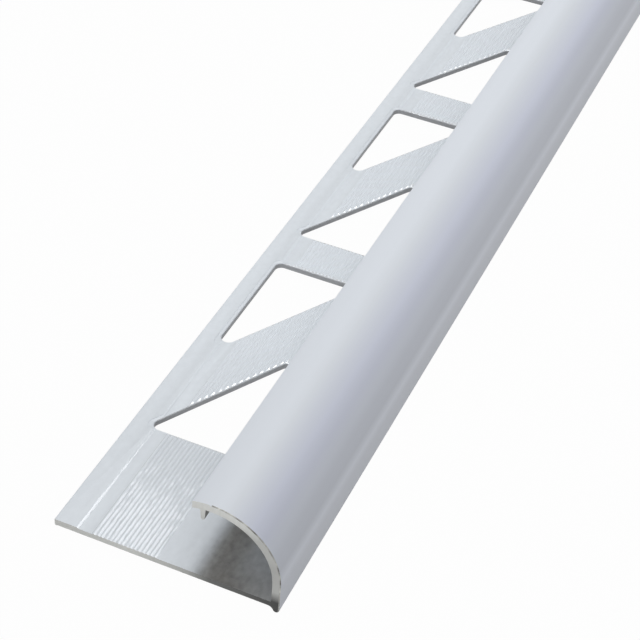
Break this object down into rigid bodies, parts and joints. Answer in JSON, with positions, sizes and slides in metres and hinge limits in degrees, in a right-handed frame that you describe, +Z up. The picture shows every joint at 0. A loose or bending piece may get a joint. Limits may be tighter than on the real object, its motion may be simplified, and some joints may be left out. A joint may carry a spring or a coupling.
{
  "type": "tile edge trim",
  "caption": "Quarter-round tile edge trim: an extruded aluminium nose over a hollow, with a thin ribbed leg whose punched three-sided openings key into the tile adhesive.",
  "frame": {"origin": "middle of the trim in X and Y, at the lowest line of the toe", "axes": "+X across the trim from the leg's free edge to the nose, +Y along the trim away from the end that is nearest in the picture, +Z up out of the leg's upper face"},
  "size_m": [0.0288, 1, 0.0132],
  "materials": {
    "satin_aluminium": "satin silver anodised"
  },
  "bodies": {
    "root": {"edge_trim": "satin_aluminium"}
  },
  "joints": []
}
